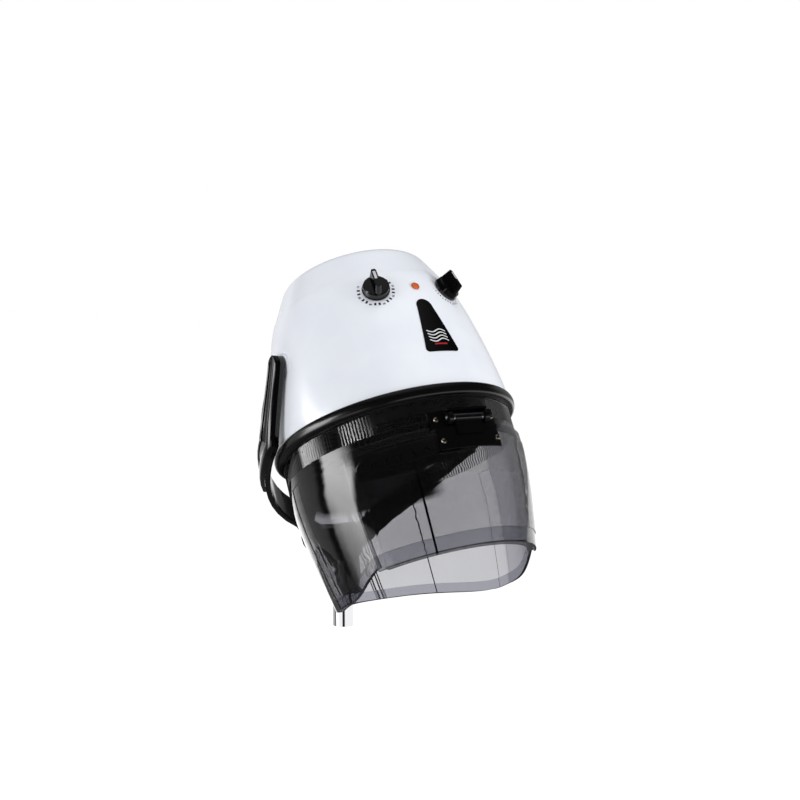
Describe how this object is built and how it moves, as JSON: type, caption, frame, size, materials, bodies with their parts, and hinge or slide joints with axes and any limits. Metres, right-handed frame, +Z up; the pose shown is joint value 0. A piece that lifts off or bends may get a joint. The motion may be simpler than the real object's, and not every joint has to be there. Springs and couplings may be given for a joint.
{
  "type": "hood hair dryer",
  "caption": "Salon hood dryer head: white bell housing with smoked skirt and flap visor, tilting in a two-armed fork on a chrome stem.",
  "frame": {"origin": "centre of the stem's lower end, on the stem's axis", "axes": "+Z up along the stem, -Y to the front where the visor is, +X to the right side of the head"},
  "size_m": [0.387, 0.4343, 0.5679],
  "materials": {
    "white_shell": "glossy moulded",
    "black_gloss": "glossy",
    "black_matte": "fine matte",
    "black_rubber": "smooth",
    "smoked_clear": "clear smoked plastic",
    "chrome_tube": "polished",
    "steel": "zinc plated",
    "hinge_grey": "satin grey",
    "nickel_screw": "nickel plated",
    "nylon": "natural nylon",
    "dark_fibre": "matte",
    "lamp_orange": "translucent orange",
    "motor_iron": "lacquered",
    "motor_alu": "cast",
    "heater_dark": "heat tinted",
    "ceramic": "ceramic"
  },
  "bodies": {
    "fork": {"stem_tube": "chrome_tube", "fork_yoke": "black_gloss", "fork_arm_left": "black_gloss", "fork_arm_right": "black_gloss", "arm_cover_left": "black_gloss", "arm_cover_right": "black_gloss", "yoke_screw": "steel", "pivot_bolts": "steel", "pivot_nuts": "steel", "friction_washers": "dark_fibre"},
    "head": {"cap_shell": "white_shell", "cap_lid": "white_shell", "ring_profile": "black_rubber", "skirt": "smoked_clear", "pivot_bushes": "nylon", "inner_tray": "black_matte", "finger_guard": "black_matte", "motor_carrier": "steel", "motor_stator": "motor_iron", "motor_covers": "motor_alu", "heater_ring": "heater_dark", "heater_clips": "ceramic", "timer_switch": "nylon", "thermostat": "steel", "terminal_block": "ceramic", "pilot_lamp": "lamp_orange", "badge_panel": "black_gloss", "cable_gland": "black_matte", "hinge_base": "black_gloss", "hinge_pin": "steel", "base_screws": "nickel_screw"},
    "visor": {"visor_panel": "smoked_clear", "hinge_leaf": "black_gloss", "hinge_barrel": "hinge_grey", "leaf_screws": "nickel_screw"},
    "timer_dial": {"timer_knob": "black_gloss", "timer_spindle": "steel"},
    "temperature_dial": {"temp_knob": "black_gloss", "temp_spindle": "steel"},
    "fan": {"fan_wheel": "black_matte", "motor_rotor": "steel"}
  },
  "joints": [
    {"name": "head_tilt", "type": "hinge", "parent": "fork", "child": "head", "pos_m": [0, -0.0934, 0.4005], "axis": [-1, 0, 0], "range_deg": [-8, 35]},
    {"name": "visor_flap", "type": "hinge", "parent": "head", "child": "visor", "pos_m": [0, -0.31679, 0.34351], "axis": [-1, 0, 0], "range_deg": [0, 95]},
    {"name": "timer_turn", "type": "hinge", "parent": "head", "child": "timer_dial", "pos_m": [-0.05724, -0.18463, 0.50918], "axis": [0.3852, 0.6571, -0.648], "range_deg": [0, 300]},
    {"name": "temperature_turn", "type": "hinge", "parent": "head", "child": "temperature_dial", "pos_m": [0.05724, -0.18463, 0.50918], "axis": [-0.3852, 0.6571, -0.648], "range_deg": [0, 270]},
    {"name": "fan_spin", "type": "hinge", "parent": "head", "child": "fan", "pos_m": [0, -0.11779, 0.35345], "axis": [0, 0.4602, 0.8878], "continuous": true}
  ]
}
